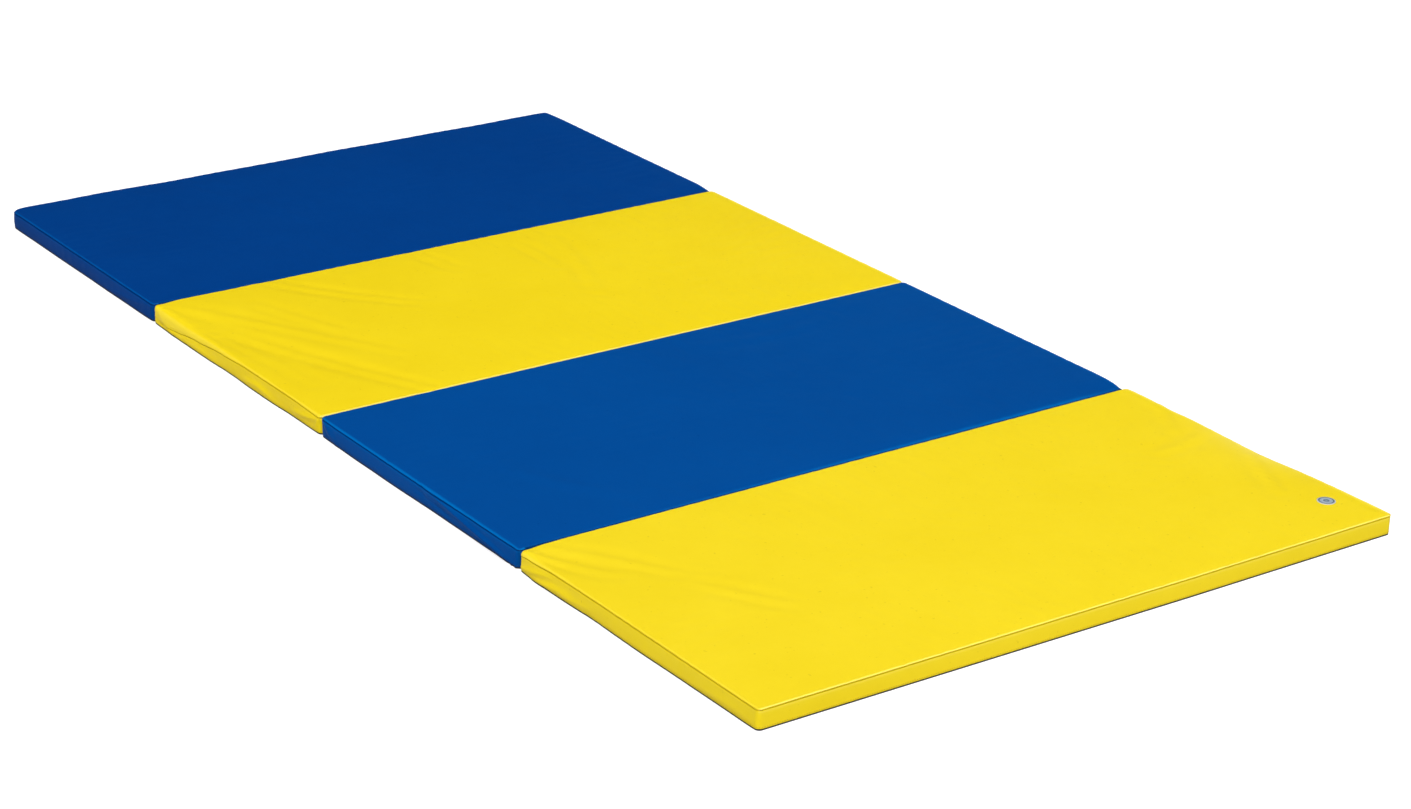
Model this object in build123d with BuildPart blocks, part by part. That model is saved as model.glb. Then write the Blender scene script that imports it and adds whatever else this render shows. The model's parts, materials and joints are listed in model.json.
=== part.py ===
from build123d import *
import os

# Folding gym mat, laid out flat: four foam panels in zipped covers, joined side to side by hinge strips.
# Millimetres. +X runs along the mat, +Y across it, +Z is up, and the origin is on the floor under its middle.

# Mat
mat_length = 2440
mat_width = 1220
thickness = 35
panel_count = 4
fold_gap = 2.4
panel_pitch = mat_length / panel_count

# Cover of one panel
skin = 0.8
corner_radius = 10
edge_radius = 3
lip_depth = 4.6
hem_width = 4.6
hem_clearance = 1.6
base_inset = 0.6
foam_inset = 2 * skin
foam_edge_radius = 2

# Zip in the +Y side of each cover
zip_height = 16
slot_width = 12
slot_end_margin = 24
tape_width = 22
tape_thickness = 0.6
tape_overlap = 4
tape_slit = 0.6
chain_width = 5
chain_thickness = 1.8
stop_length = 2.5
stop_width = 1.6
stop_gap = 3.6
stop_edge = 0.4
groove_width = 13
groove_depth = 1.9

# Zip slider: two wings joined by a diamond at the leading end, with a bridge for the pull
slider_length = 12
slider_width = 9
wing_thickness = 1.2
wing_clearance = 0.3
flange_width = 0.9
flange_depth = 1.3
diamond_length = 3
diamond_width = 2.4
diamond_setback = 0.4
diamond_clearance = 0.4
slider_end_margin = 14
bridge_length = 6.4
bridge_width = 2.2
bridge_bar = 1
bridge_opening = 2

# Zip pull, lying back along the closed chain
pull_length = 26
pull_width = 7
pull_thickness = 1.2
window_width = 3.2
window_length = 4.4
grip_hole_radius = 1.4

# Hinge strips
strip_thickness = 0.8
strip_leg = 18
strip_clearance = 0.1
strip_end_margin = 12
floor_clearance = 0.5

# Badge on the last panel
badge_radius = 15
badge_thickness = 0.4
badge_ring_height = 0.2
badge_ring_outer = 13.5
badge_ring_inner = 10.5
badge_from_end = 85
badge_from_side = 53

# Planes across the zip, counted outwards from the foam
side_face = mat_width / 2
tape_outer = side_face - skin
tape_inner = tape_outer - tape_thickness
chain_outer = tape_outer + chain_thickness
inner_wing_top = tape_inner - wing_clearance
outer_wing_base = chain_outer + wing_clearance
outer_wing_top = outer_wing_base + wing_thickness
pull_axis = outer_wing_top + bridge_opening / 2


def panel_low(k):
    """X of the end face of panel k that is nearer the -X end of the mat."""
    return -mat_length / 2 + (k - 1) * panel_pitch + (fold_gap / 2 if k > 1 else 0)


def panel_high(k):
    """X of the other end face of panel k."""
    return -mat_length / 2 + k * panel_pitch - (fold_gap / 2 if k < panel_count else 0)


def panel_length(k):
    return panel_high(k) - panel_low(k)


def panel_middle(k):
    return (panel_low(k) + panel_high(k)) / 2


def slot_low(k):
    return panel_low(k) + slot_end_margin


def slot_high(k):
    return panel_high(k) - slot_end_margin


def slider_middle(k):
    """X of the slider's middle with the zip closed."""
    return slot_high(k) - slider_end_margin


def diamond_front(k):
    return slider_middle(k) + slider_length / 2 - diamond_setback


def diamond_back(k):
    return diamond_front(k) - diamond_length


def outward(y):
    """Plane facing outwards at the given Y: its x runs along the mat and its y runs up."""
    return Plane(origin=(0, y, 0), x_dir=(-1, 0, 0), z_dir=(0, 1, 0))


def finish(piece, name):
    """Label a finished piece and write its STEP file."""
    piece.part.label = name
    export_step(piece.part, f"parts/{name}.step")


def make_top_sheet(k):
    """Face sheet, its edge turned down all round over the side band."""
    with BuildPart() as sheet:
        with BuildSketch(Plane.XY.offset(thickness - lip_depth)):
            with Locations((panel_middle(k), 0)):
                RectangleRounded(panel_length(k), mat_width, corner_radius)
        extrude(amount=lip_depth)
        fillet(sheet.faces().sort_by(Axis.Z)[-1].edges(), edge_radius)
        offset(amount=-skin, openings=sheet.faces().sort_by(Axis.Z)[0])
    return sheet


def make_base_sheet(k):
    """Flat non-slip underside."""
    with BuildPart() as sheet:
        with BuildSketch(Plane.XY):
            with Locations((panel_middle(k), 0)):
                RectangleRounded(
                    panel_length(k) - 2 * base_inset, mat_width - 2 * base_inset, corner_radius - base_inset
                )
        extrude(amount=skin)
    return sheet


def make_side_band(k):
    """Band round the panel's edge, with a hem turned in under the face sheet and the zip's slot."""
    band_top = thickness - lip_depth
    hem_top = thickness - edge_radius
    with BuildPart() as band:
        with BuildSketch(Plane.XY.offset(skin)):
            with Locations((panel_middle(k), 0)):
                RectangleRounded(panel_length(k), mat_width, corner_radius)
                RectangleRounded(
                    panel_length(k) - 2 * skin,
                    mat_width - 2 * skin,
                    corner_radius - skin,
                    mode=Mode.SUBTRACT,
                )
        extrude(amount=band_top - skin)
        with BuildSketch(Plane.XY.offset(hem_top - hem_width)):
            with Locations((panel_middle(k), 0)):
                RectangleRounded(
                    panel_length(k) - 2 * skin, mat_width - 2 * skin, corner_radius - skin
                )
                RectangleRounded(
                    panel_length(k) - 2 * foam_inset,
                    mat_width - 2 * foam_inset,
                    corner_radius - foam_inset,
                    mode=Mode.SUBTRACT,
                )
        extrude(amount=hem_width)
        with BuildSketch(outward(side_face)):
            with Locations((-panel_middle(k), zip_height)):
                SlotOverall(slot_high(k) - slot_low(k), slot_width)
        extrude(amount=-skin, mode=Mode.SUBTRACT)
    return band


def make_foam_core(k):
    """Foam slab filling the cover, grooved where the zip slider's inner wing runs."""
    with BuildPart() as foam:
        with BuildSketch(Plane.XY.offset(skin)):
            with Locations((panel_middle(k), 0)):
                RectangleRounded(
                    panel_length(k) - 2 * foam_inset,
                    mat_width - 2 * foam_inset,
                    corner_radius - foam_inset,
                )
        extrude(amount=thickness - 2 * skin)
        fillet(foam.faces().sort_by(Axis.Z)[-1].edges(), foam_edge_radius)
        with BuildSketch(outward(side_face - foam_inset)):
            with Locations((-panel_middle(k), zip_height)):
                Rectangle(slot_high(k) - slot_low(k), groove_width)
        extrude(amount=-groove_depth, mode=Mode.SUBTRACT)
    return foam


def make_zip_tape(k):
    """Woven tape behind the slot, slit under the chain and parted round the slider's diamond."""
    slit_low = slot_low(k) + slider_length / 2
    part_low = diamond_back(k) - diamond_clearance
    part_high = slider_middle(k) + slider_length / 2 + stop_gap
    part_width = diamond_width + 2 * diamond_clearance
    with BuildPart() as tape:
        with BuildSketch(outward(tape_outer)):
            with Locations((-panel_middle(k), zip_height)):
                Rectangle(slot_high(k) - slot_low(k) + 2 * tape_overlap, tape_width)
            with Locations((-(slit_low + part_low) / 2, zip_height)):
                Rectangle(part_low - slit_low, tape_slit, mode=Mode.SUBTRACT)
            with Locations((-(part_low + part_high) / 2, zip_height)):
                Rectangle(part_high - part_low, part_width, mode=Mode.SUBTRACT)
        extrude(amount=-tape_thickness)
    return tape


def make_zip_chain(k):
    """Closed coil chain, as one bar from the bottom stop to the slider's diamond."""
    chain_low = slot_low(k) + slider_length / 2 + stop_length
    chain_high = diamond_back(k) - diamond_clearance
    with BuildPart() as chain:
        with BuildSketch(outward(tape_outer)):
            with Locations((-(chain_low + chain_high) / 2, zip_height)):
                Rectangle(chain_high - chain_low, chain_width)
        extrude(amount=chain_thickness)
        fillet(chain.faces().sort_by(Axis.Y)[-1].edges().filter_by(Axis.X), chain_thickness / 3)
    return chain


def make_zip_stops(k):
    """One bottom stop across the chain, and a top stop on each side beyond the slider."""
    bottom_stop = slot_low(k) + slider_length / 2 + stop_length / 2
    top_stop = slider_middle(k) + slider_length / 2 + stop_length / 2 + stop_edge
    top_stop_side = (stop_gap + stop_width) / 2
    with BuildPart() as stops:
        with BuildSketch(outward(tape_outer)):
            with Locations((-bottom_stop, zip_height)):
                Rectangle(stop_length - stop_edge, chain_width + 2 * stop_edge)
            with Locations(
                (-top_stop, zip_height - top_stop_side), (-top_stop, zip_height + top_stop_side)
            ):
                Rectangle(stop_length, stop_width)
        extrude(amount=chain_thickness)
        fillet(stops.edges().filter_by(Axis.Y), stop_edge)
    return stops


def make_zip_slider(k):
    """Slider body: wings behind and in front of the tape, diamond between them, bridge outside."""
    middle = slider_middle(k)
    wing_gap = outer_wing_base - inner_wing_top
    flange_side = (slider_width - flange_width) / 2
    with BuildPart() as slider:
        with BuildSketch(outward(inner_wing_top - wing_thickness)):
            with Locations((-middle, zip_height)):
                RectangleRounded(slider_length, slider_width, 2)
        extrude(amount=wing_thickness)
        with BuildSketch(outward(outer_wing_base)):
            with Locations((-middle, zip_height)):
                RectangleRounded(slider_length, slider_width, 2)
        extrude(amount=wing_thickness)
        fillet(slider.faces().sort_by(Axis.Y)[-1].edges(), wing_thickness / 2)
        with BuildSketch(outward(outer_wing_base - flange_depth)):
            with Locations((-middle, zip_height - flange_side), (-middle, zip_height + flange_side)):
                Rectangle(slider_length - 4, flange_width)
        extrude(amount=flange_depth + wing_thickness / 2)
        with BuildSketch(outward(inner_wing_top)):
            with Locations((-(diamond_back(k) + diamond_front(k)) / 2, zip_height)):
                Rectangle(diamond_length, diamond_width)
        extrude(amount=wing_gap)
        with BuildSketch(outward(outer_wing_top - wing_thickness / 2)):
            with Locations((-middle, zip_height)):
                Rectangle(bridge_length, bridge_width)
        extrude(amount=wing_thickness / 2 + bridge_opening + bridge_bar)
        fillet(slider.faces().sort_by(Axis.Y)[-1].edges().filter_by(Axis.Z), bridge_bar)
        with BuildSketch(Plane.XY.offset(zip_height - bridge_width / 2)):
            with Locations((middle, outer_wing_top + bridge_opening / 2)):
                Rectangle(bridge_length - 2 * bridge_bar, bridge_opening)
        extrude(amount=bridge_width, mode=Mode.SUBTRACT)
    return slider


def make_zip_pull(k):
    """Flat pull whose end bar turns inside the slider's bridge."""
    axis_x = slider_middle(k)
    bar_radius = pull_thickness / 2
    free_end = axis_x - pull_length
    window_middle = axis_x - bar_radius - window_length / 2
    with BuildPart() as pull:
        with BuildSketch(outward(pull_axis - bar_radius)):
            with Locations((-(axis_x + free_end) / 2, zip_height)):
                Rectangle(pull_length, pull_width)
            with Locations((-window_middle, zip_height)):
                Rectangle(window_length, window_width, mode=Mode.SUBTRACT)
            with Locations((-(free_end + pull_width / 2), zip_height)):
                Circle(grip_hole_radius, mode=Mode.SUBTRACT)
        extrude(amount=pull_thickness)
        fillet(pull.edges().filter_by(Axis.Y).group_by(Axis.X)[0], pull_width / 2 - 0.1)
        with BuildSketch(Plane.XY.offset(zip_height - pull_width / 2)):
            with Locations((axis_x, pull_axis)):
                Circle(bar_radius)
        extrude(amount=pull_width)
    return pull


def make_hinge_strip(k):
    """Strip folded into the gap after panel k: two sewn legs joined at the face where the fold hinges."""
    fold_x = -mat_length / 2 + k * panel_pitch
    half_width = fold_gap / 2 - strip_clearance
    at_top = k % 2 == 1
    bridge_z = thickness - strip_thickness / 2 if at_top else floor_clearance + strip_thickness / 2
    inward = -1 if at_top else 1
    leg_z = bridge_z + inward * (strip_leg - strip_thickness) / 2
    leg_x = half_width - strip_thickness / 2
    strip_length = mat_width - 2 * strip_end_margin
    with BuildPart() as strip:
        with BuildSketch(Plane.XZ.offset(-strip_length / 2)):
            with Locations((fold_x, bridge_z)):
                Rectangle(2 * half_width, strip_thickness)
            with Locations((fold_x - leg_x, leg_z), (fold_x + leg_x, leg_z)):
                Rectangle(strip_thickness, strip_leg)
        extrude(amount=strip_length)
    return strip


def make_badge():
    """Thin round badge with a raised ring, on the face of the last panel."""
    badge_x = mat_length / 2 - badge_from_end
    badge_y = mat_width / 2 - badge_from_side
    with BuildPart() as badge:
        with BuildSketch(Plane.XY.offset(thickness)):
            with Locations((badge_x, badge_y)):
                Circle(badge_radius)
        extrude(amount=badge_thickness)
        with BuildSketch(Plane.XY.offset(thickness + badge_thickness)):
            with Locations((badge_x, badge_y)):
                Circle(badge_ring_outer)
                Circle(badge_ring_inner, mode=Mode.SUBTRACT)
        extrude(amount=badge_ring_height)
    return badge


os.makedirs("parts", exist_ok=True)

for k in range(1, panel_count + 1):
    finish(make_foam_core(k), f"foam_core_{k}")
    finish(make_top_sheet(k), f"top_sheet_{k}")
    finish(make_side_band(k), f"side_band_{k}")
    finish(make_base_sheet(k), f"base_sheet_{k}")
    finish(make_zip_tape(k), f"zip_tape_{k}")
    finish(make_zip_chain(k), f"zip_chain_{k}")
    finish(make_zip_stops(k), f"zip_stops_{k}")
    finish(make_zip_slider(k), f"zip_slider_{k}")
    finish(make_zip_pull(k), f"zip_pull_{k}")

for k in range(1, panel_count):
    finish(make_hinge_strip(k), f"hinge_strip_{k}")

finish(make_badge(), "badge")
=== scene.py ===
import json
import math

import bpy
import numpy as np
from mathutils import Matrix, Vector, noise


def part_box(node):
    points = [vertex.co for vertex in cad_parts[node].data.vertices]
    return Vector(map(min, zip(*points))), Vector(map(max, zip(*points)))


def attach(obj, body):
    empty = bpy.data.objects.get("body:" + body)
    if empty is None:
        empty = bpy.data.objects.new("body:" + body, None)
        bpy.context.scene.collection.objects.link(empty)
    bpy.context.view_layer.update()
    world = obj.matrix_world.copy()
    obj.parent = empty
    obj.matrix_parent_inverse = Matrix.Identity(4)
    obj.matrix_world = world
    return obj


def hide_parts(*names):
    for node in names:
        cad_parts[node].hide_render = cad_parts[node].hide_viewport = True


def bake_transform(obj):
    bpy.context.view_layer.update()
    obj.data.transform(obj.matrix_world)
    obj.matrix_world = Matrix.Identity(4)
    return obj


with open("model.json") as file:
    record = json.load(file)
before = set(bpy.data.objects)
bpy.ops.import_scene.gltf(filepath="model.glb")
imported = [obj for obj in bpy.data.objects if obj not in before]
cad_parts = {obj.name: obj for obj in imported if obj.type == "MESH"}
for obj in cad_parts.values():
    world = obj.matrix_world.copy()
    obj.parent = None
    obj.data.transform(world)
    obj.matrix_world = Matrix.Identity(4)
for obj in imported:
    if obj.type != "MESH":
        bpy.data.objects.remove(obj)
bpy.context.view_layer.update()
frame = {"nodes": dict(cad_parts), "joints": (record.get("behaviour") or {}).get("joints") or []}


# ---- Studio ---------------------------------------------------------------------------------------------
# A pale floor and a sky that both look white but light the mat little. A broad soft key comes from the near
# end, a large box hangs overhead, a small one over the near end, and low ones fill the sides.

scene = bpy.context.scene
scene.view_settings.view_transform = "Standard"

camera_data = bpy.data.cameras.new("camera")
camera_data.lens = 83.4
camera_data.sensor_width = 36
camera_data.clip_end = 60
camera = bpy.data.objects.new("camera", camera_data)
scene.collection.objects.link(camera)
camera_azimuth = math.radians(54.2)
camera_dip = math.radians(22.4)
camera_roll = math.radians(1.49)
looks_along = Vector(
    (
        -math.sin(camera_azimuth) * math.cos(camera_dip),
        math.cos(camera_azimuth) * math.cos(camera_dip),
        -math.sin(camera_dip),
    )
)
turned = looks_along.to_track_quat("-Z", "Y").to_matrix() @ Matrix.Rotation(camera_roll, 3, "Z")
camera.matrix_world = Matrix.LocRotScale(Vector((4.377, -2.989, 2.11)), turned, None)
scene.camera = camera

sky = bpy.data.worlds.new("sky")
sky.use_nodes = True
sky_tree = sky.node_tree
dim_sky = sky_tree.nodes["Background"]
dim_sky.inputs["Color"].default_value = (1, 1, 1, 1)
dim_sky.inputs["Strength"].default_value = 0.05
seen_sky = sky_tree.nodes.new("ShaderNodeBackground")
seen_sky.inputs["Strength"].default_value = 1.0
seen = sky_tree.nodes.new("ShaderNodeLightPath")
either = sky_tree.nodes.new("ShaderNodeMixShader")
sky_tree.links.new(seen.outputs["Is Camera Ray"], either.inputs["Fac"])
sky_tree.links.new(dim_sky.outputs["Background"], either.inputs[1])
sky_tree.links.new(seen_sky.outputs["Background"], either.inputs[2])
sky_tree.links.new(either.outputs["Shader"], sky_tree.nodes["World Output"].inputs["Surface"])
scene.world = sky


def soft_box(name, size, power, location, target):
    """A rectangular lamp at location, turned to target."""
    light = bpy.data.lights.new(name, "AREA")
    light.shape = "RECTANGLE"
    light.size, light.size_y = size
    light.energy = power
    lamp = bpy.data.objects.new(name, light)
    lamp.location = location
    lamp.rotation_euler = (Vector(location) - Vector(target)).to_track_quat("Z", "Y").to_euler()
    lamp.visible_camera = False
    lamp.visible_glossy = False
    scene.collection.objects.link(lamp)


soft_box("overhead", (5, 5), 128, (0.3, 0, 3.6), (0.3, 0, 0))
soft_box("near_box", (1.6, 1.6), 6, (3.0, -0.4, 2.4), (0.9, 0, 0))
soft_box("side_box", (3.4, 0.6), 54, (0.4, -4.2, 0.55), (0.2, -0.6, 0))
soft_box("end_box", (0.6, 2.4), 54, (4.2, 0, 0.55), (1.2, 0, 0))
soft_box("back_box", (3.0, 0.6), 36, (-2.6, 3.6, 0.6), (-0.4, 0.5, 0))

key_light = bpy.data.lights.new("key", "SUN")
key_light.energy = 1.98
key_light.angle = math.radians(24)
key = bpy.data.objects.new("key", key_light)
key.rotation_euler = Vector((0.49, -0.36, 0.8)).to_track_quat("Z", "Y").to_euler()
scene.collection.objects.link(key)


def colour_node(tree, colours, factor):
    """Mixes two colours by a factor socket."""
    mix = tree.nodes.new("ShaderNodeMix")
    mix.data_type = "RGBA"
    mix.inputs["A"].default_value = (*colours[0], 1)
    mix.inputs["B"].default_value = (*colours[1], 1)
    tree.links.new(factor, mix.inputs["Factor"])
    return mix.outputs["Result"]


def times(tree, value, factor):
    """Multiplies a value socket by a constant."""
    product = tree.nodes.new("ShaderNodeMath")
    product.operation = "MULTIPLY"
    product.inputs[1].default_value = factor
    tree.links.new(value, product.inputs[0])
    return product.outputs[0]


floor_paint = bpy.data.materials.new("floor_paint")
floor_paint.use_nodes = True
floor_tree = floor_paint.node_tree
floor_shader = floor_tree.nodes["Principled BSDF"]
floor_shader.inputs["Base Color"].default_value = (0.5, 0.5, 0.5, 1)
floor_shader.inputs["Roughness"].default_value = 0.9
floor_shader.inputs["Specular IOR Level"].default_value = 0.0
floor_shader.inputs["Emission Color"].default_value = (1, 1, 1, 1)
straight = floor_tree.nodes.new("ShaderNodeLightPath")
glow = times(floor_tree, straight.outputs["Is Camera Ray"], 0.66)
floor_tree.links.new(glow, floor_shader.inputs["Emission Strength"])

floor_mesh = bpy.data.meshes.new("floor")
floor_half = 30
floor_drop = -0.0004
floor_mesh.from_pydata(
    [(x, y, floor_drop) for x, y in ((-1, -1), (1, -1), (1, 1), (-1, 1))], [], [(0, 1, 2, 3)]
)
floor_mesh.transform(Matrix.Diagonal((floor_half, floor_half, 1, 1)))
floor_mesh.materials.append(floor_paint)
floor = bpy.data.objects.new("floor", floor_mesh)
scene.collection.objects.link(floor)


# ---- Cover cages ----------------------------------------------------------------------------------------
# Each panel's cover starts as one shell with the foam's shape: a face grid and rings of points down its
# side. Slack cloth is laid into it as long soft folds, then it is blown up gently and settles.

MM = 0.001
panel_count = sum(name.startswith("foam_core_") for name in frame["nodes"])
edge_steps = np.array([0, 1.0, 2.2, 4, 6.5, 10, 14, 19, 24, 31]) * MM
face_step = 11 * MM
ring_heights = MM * np.array(
    [35, 34.5, 34, 33.5, 32.9, 31.7, 30.2, 28.4, 26.4, 24.2, 22, 19, 16, 13, 10, 7.5, 5, 3.9, 2.7]
)
seam_row = 4
zip_rows = (10, 14)
zip_column = 8
face_height = 34.9 * MM
highest_face = 35.42 * MM


# Each panel's vinyl: its name, two base tones, a marks colour that also serves as painted shade in the seams,
# and a painted sheen colour for the edges. Panel 1's blue is a darker copy of panel 3's, painted shade for
# the far end of the mat.
panel_colours = {
    1: ("blue", (0.0, 0.033, 0.178), (0.0, 0.047, 0.232), (0.0, 0.022, 0.12), (0.0, 0.09, 0.34)),
    2: ("yellow", (0.71, 0.52, 0.003), (0.81, 0.625, 0.012), (0.45, 0.31, 0.006), (0.86, 0.74, 0.16)),
    3: ("blue", (0.0, 0.047, 0.217), (0.0, 0.064, 0.276), (0.0, 0.03, 0.15), (0.0, 0.14, 0.44)),
    4: ("yellow", (0.7, 0.52, 0.004), (0.805, 0.625, 0.018), (0.45, 0.31, 0.006), (0.86, 0.74, 0.16)),
}


def spread(low, high):
    """Grid lines from low to high, close together near both ends."""
    first = low + edge_steps
    last = high - edge_steps[::-1]
    between = round((last[0] - first[-1]) / face_step)
    return np.concatenate([first, np.linspace(first[-1], last[0], between + 1)[1:-1], last])


def corners(box):
    """Lowest and highest corners of a box, as arrays."""
    return (np.array(corner) for corner in box)


def build_cage(k):
    """Points and index arrays of panel k's shell, as a sharp box."""
    low, high = corners(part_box(f"top_sheet_{k}"))
    xs = spread(low[0], high[0])
    ys = spread(low[1], high[1])
    across, along = len(xs), len(ys)
    face = np.arange(across * along).reshape(across, along)
    border = [(i, 0) for i in range(across - 1)]
    border += [(across - 1, j) for j in range(along - 1)]
    border += [(i, along - 1) for i in range(across - 1, 0, -1)]
    border += [(0, j) for j in range(along - 1, 0, -1)]
    border = np.array(border)
    rings = [face[border[:, 0], border[:, 1]]]
    points = [np.stack([np.repeat(xs, along), np.tile(ys, across), np.full(across * along, high[2])], 1)]
    for height in ring_heights[1:]:
        rings.append(len(np.concatenate(points)) + np.arange(len(border)))
        points.append(np.stack([xs[border[:, 0]], ys[border[:, 1]], np.full(len(border), height)], 1))
    return {
        "points": np.concatenate(points),
        "face": face,
        "rings": np.array(rings),
        "column": border[:, 0],
        "far_side": border[:, 1] == along - 1,
        "low": low,
        "high": high,
    }


def round_box(points, low, high, plan_radius, edge_radius):
    """Moves points of a sharp box onto the same box with rounded corners and a rounded top edge."""
    centre = (low + high) / 2
    half = (high - low) / 2

    def distance(p):
        q = np.abs(p[:, :2] - centre[:2]) - half[:2] + plan_radius[:, None]
        plan = np.minimum(q.max(1), 0) + np.linalg.norm(np.maximum(q, 0), axis=1) - plan_radius
        wall = plan + edge_radius
        top = p[:, 2] - high[2] + edge_radius
        beyond = np.stack([np.maximum(wall, 0), np.maximum(top, 0)], 1)
        return np.minimum(np.maximum(wall, top), 0) + np.linalg.norm(beyond, axis=1) - edge_radius

    tiny = 1e-6
    for _ in range(3):
        here = distance(points)
        slope = np.stack([(distance(points + tiny * step) - here) / tiny for step in np.eye(3)], 1)
        slope /= np.maximum(np.linalg.norm(slope, axis=1, keepdims=True), 1e-6)
        points = points - np.where(here > 0, here, 0)[:, None] * slope
    return points


def fold_line(p, start, middle, end, half_width, beside=0.0):
    """Height, up to 1, of a soft fold from start through middle to end, with troughs of a share beside it."""
    start, middle, end = (np.array(q, float) * MM for q in (start, middle, end))
    bend = 2 * middle - (start + end) / 2
    nearest = np.full(len(p), 1e9)
    share = np.zeros(len(p))
    for t in np.linspace(0, 1, 25):
        at = (1 - t) ** 2 * start + 2 * t * (1 - t) * bend + t**2 * end
        gap = np.linalg.norm(p - at, axis=1)
        share = np.where(gap < nearest, t, share)
        nearest = np.minimum(nearest, gap)
    ridge = np.exp(-((nearest / (half_width * MM)) ** 2))
    ridge -= beside * np.exp(-((nearest / (2.3 * half_width * MM)) ** 2))
    return ridge * np.sin(np.pi * (0.08 + 0.84 * share)) ** 0.8


def hump(value, middle, half_width):
    """Smooth rise from 0 to 1 and back, around middle, with sizes in millimetres."""
    return np.exp(-(((value - middle * MM) / (half_width * MM)) ** 2))


def ripple(p, size, seed):
    """Smooth noise from about -1 to 1 with features of the given size."""
    return np.array([noise.noise(Vector((*q, seed))) for q in p / (size * MM)])


# Folds on the face: start, middle and end in millimetres from the panel's far near-side corner, half width,
# height. Folds on the near side: the same, with heights above the floor as second numbers.
face_folds = {
    1: [((70, 330), (230, 420), (420, 470), 26, 1.0)],
    2: [
        ((12, 4), (300, 88), (590, 214), 11, 4.6),
        ((60, 2), (250, 40), (480, 62), 10, 3.6),
        ((30, 30), (190, 120), (420, 250), 13, 2.2),
        ((100, 157), (180, 184), (290, 222), 10, 1.8),
        ((10, 232), (110, 298), (225, 396), 10, 2.2),
        ((18, 536), (60, 545), (110, 552), 9, 1.6),
        ((76, 725), (130, 728), (200, 722), 9, 1.6),
        ((80, 800), (220, 765), (352, 715), 15, 1.4),
    ],
    3: [((300, 140), (420, 180), (540, 260), 20, 1.0), ((60, 700), (90, 850), (70, 1000), 18, 1.0)],
    4: [
        ((14, 8), (84, 36), (150, 74), 10, 3.6),
        ((10, 30), (90, 90), (190, 150), 12, 1.8),
        ((250, 160), (305, 195), (365, 230), 12, 1.6),
        ((322, 1200), (385, 1164), (450, 1130), 11, 4.0),
        ((86, 1216), (128, 1190), (180, 1158), 10, 3.2),
        ((205, 1205), (225, 1150), (235, 1080), 14, 1.8),
    ],
}
side_folds = {
    1: [((420, 6), (500, 14), (596, 27), 4, 2.4)],
    2: [
        ((22, 24), (45, 14), (80, 7), 4, 3.2),
        ((345, 10), (390, 15), (435, 11), 4, 3.0),
        ((515, 12), (560, 19), (602, 27), 4, 4.0),
        ((590, 8), (598, 18), (603, 30), 3, 2.4),
        ((50, 3), (150, 7), (250, 3), 9, 2.6),
        ((330, 2), (400, 7), (480, 2), 9, 2.4),
    ],
    3: [
        ((340, 31), (470, 19), (600, 4), 3.4, 6.5),
        ((300, 22), (410, 12), (540, 2), 4, -3.0),
        ((6, 31), (30, 20), (52, 6), 5, 2.4),
        ((60, 3), (190, 6), (320, 3), 9, 2.0),
    ],
    4: [
        ((6, 7), (42, 15), (88, 25), 3.6, 4.0),
        ((40, 3), (85, 9), (135, 16), 3.6, 3.2),
        ((112, 8), (150, 12), (195, 14), 4, 2.0),
        ((420, 6), (500, 11), (590, 14), 6, 1.2),
        ((20, 2), (90, 7), (170, 3), 9, 2.8),
        ((230, 3), (320, 6), (410, 3), 9, 1.8),
    ],
}

# How the near side's edge is rolled over, and where its seam lies: distance along the panel, radius of the
# edge, height of the seam. Where the cover is twisted, the seam has slipped down the side.
near_edges = {
    1: [(0, 5, 32.5), (120, 3.5, 32.5), (609, 3, 32.7)],
    2: [
        (0, 5, 15),
        (28, 12, 8),
        (70, 16, 11),
        (170, 13, 21),
        (255, 8, 28),
        (350, 4.5, 32),
        (500, 4, 32.6),
        (608, 4, 31),
    ],
    3: [(0, 3, 32.6), (60, 4, 31.6), (330, 4.5, 31), (560, 4, 31.8), (608, 3, 32.6)],
    4: [(0, 6, 27), (30, 7, 29.5), (90, 5, 32.2), (200, 3, 33), (609, 3, 33)],
}
trough = 1.08
side_bulge = {1: 1.6, 2: 1.0, 3: 2.4, 4: 1.4}


def eased(value, knots, column):
    """Smooth steps through one column of a table whose first column is in millimetres."""
    result = np.full(len(value), float(knots[0][column]))
    for before, after in zip(knots, knots[1:]):
        share = np.clip((value / MM - before[0]) / (after[0] - before[0]), 0, 1)
        result += (after[column] - before[column]) * share * share * (3 - 2 * share)
    return result * MM


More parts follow.
